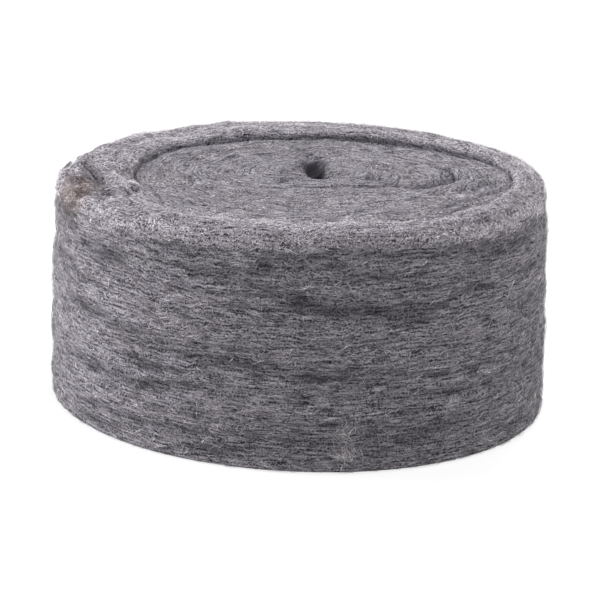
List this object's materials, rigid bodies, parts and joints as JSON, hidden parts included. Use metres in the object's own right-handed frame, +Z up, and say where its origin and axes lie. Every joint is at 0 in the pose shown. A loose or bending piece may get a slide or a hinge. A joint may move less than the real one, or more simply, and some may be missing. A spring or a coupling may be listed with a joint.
{
  "type": "steel wool roll",
  "caption": "Low, thick roll of grey steel wool: a flat ribbon wound on itself and standing on its end, for cleaning and rubbing down.",
  "frame": {"origin": "middle of the roll's underside, which stands on z = 0", "axes": "+Z up along the roll's axis, -Y towards the front of the roll as pictured, +X to its right"},
  "size_m": [0.1946, 0.1938, 0.0918],
  "materials": {
    "steel_wool": "dull grey wool of fine steel fibres"
  },
  "bodies": {
    "root": {"wool_ribbon": "steel_wool"}
  },
  "joints": []
}
